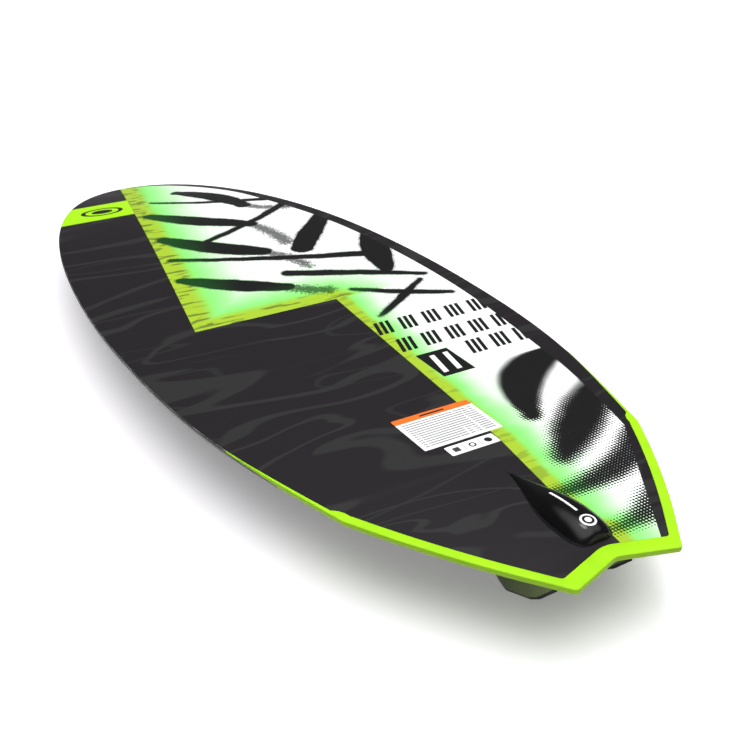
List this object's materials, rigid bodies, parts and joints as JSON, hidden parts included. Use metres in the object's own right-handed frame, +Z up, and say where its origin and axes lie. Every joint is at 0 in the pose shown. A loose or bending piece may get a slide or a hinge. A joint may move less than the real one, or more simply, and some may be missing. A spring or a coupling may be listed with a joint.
{
  "type": "wakesurf board",
  "caption": "Wakesurf board with a flat deck, a swallow tail inside a soft bumper, a raised tail ridge and screwed-on keel fins.",
  "frame": {"origin": "below mid-length, on the centre line, level with the lowest point of the fins", "axes": "+X towards the nose, +Y towards the left side, +Z up out of the deck"},
  "size_m": [1.3201, 0.5, 0.1011],
  "materials": {
    "core_foam": "matte closed-cell foam",
    "stringer_wood": "plain sawn wood",
    "laminate": "translucent glass-fibre laminate",
    "deck_print": "satin print, charcoal, lime and white",
    "base_print": "satin",
    "rail_black": "satin",
    "bumper_lime": "soft satin",
    "ridge_black": "satin",
    "cover_gloss": "high gloss",
    "label_white": "coated",
    "block_plastic": "moulded",
    "insert_brass": "machined",
    "fin_plastic": "translucent",
    "screw_steel": "plain"
  },
  "bodies": {
    "board": {"core_left": "core_foam", "core_right": "core_foam", "stringer": "stringer_wood", "deck_laminate": "laminate", "base_laminate": "laminate", "topsheet": "deck_print", "base_sheet": "base_print", "front_rail": "rail_black", "tail_bumper": "bumper_lime", "tail_ridge": "ridge_black", "ridge_cover": "cover_gloss", "info_label": "label_white", "icon_label": "label_white", "fin_block_left": "block_plastic", "fin_block_right": "block_plastic", "thread_inserts_left": "insert_brass", "thread_inserts_right": "insert_brass"},
    "left_fin": {"fin_left": "fin_plastic", "fin_screws_left": "screw_steel"},
    "right_fin": {"fin_right": "fin_plastic", "fin_screws_right": "screw_steel"}
  },
  "joints": [
    {"name": "left_fin_lift_off", "type": "slide", "parent": "board", "child": "left_fin", "axis": [0, 0, -1], "range_m": [0, 0.03]},
    {"name": "right_fin_lift_off", "type": "slide", "parent": "board", "child": "right_fin", "axis": [0, 0, -1], "range_m": [0, 0.03]}
  ]
}
